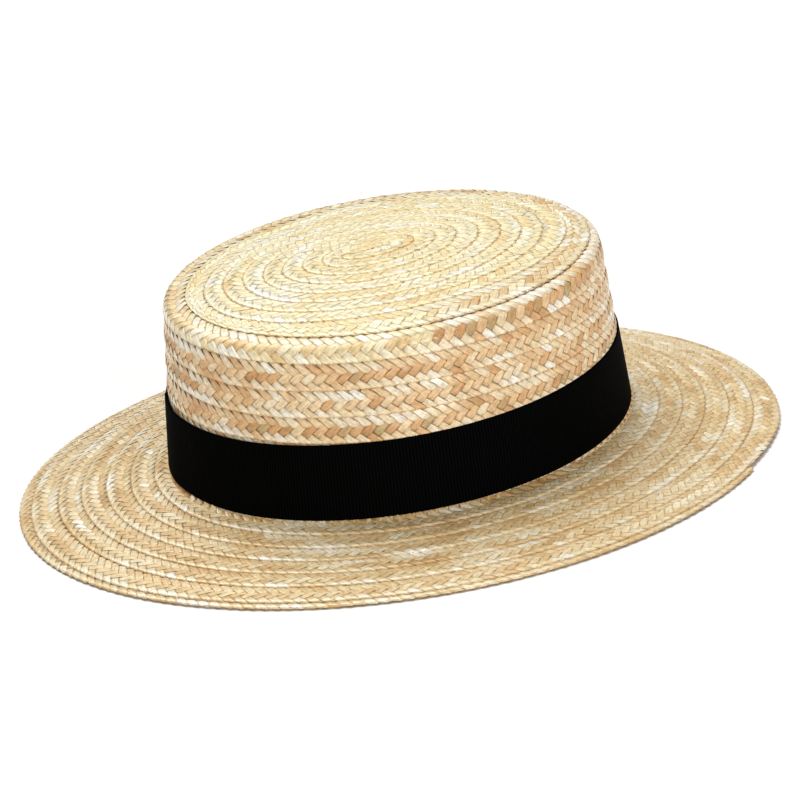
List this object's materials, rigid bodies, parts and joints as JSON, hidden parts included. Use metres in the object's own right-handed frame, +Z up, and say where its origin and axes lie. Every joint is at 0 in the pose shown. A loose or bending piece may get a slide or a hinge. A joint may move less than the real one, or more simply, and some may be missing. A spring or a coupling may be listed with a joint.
{
  "type": "straw boater hat",
  "caption": "Straw boater hat: low oval crown with a nearly flat tip, and stiff brim, sewn from plaited straw braid, with a plain black ribbon round the foot of the crown.",
  "frame": {"origin": "middle of the level rim, on the surface that the hat stands on", "axes": "+X along the length of the head oval, +Y across it, +Z up out of the crown"},
  "size_m": [0.3408, 0.3031, 0.1],
  "materials": {
    "pale_straw_braid": "plaited straw, pale cream, slightly glossy",
    "straw_braid": "plaited straw, cream to tan, slightly glossy",
    "black_grosgrain": "ribbed ribbon, matte black"
  },
  "bodies": {
    "root": {"crown_tip": "pale_straw_braid", "crown_side": "straw_braid", "brim": "straw_braid", "ribbon_band": "black_grosgrain"}
  },
  "joints": []
}
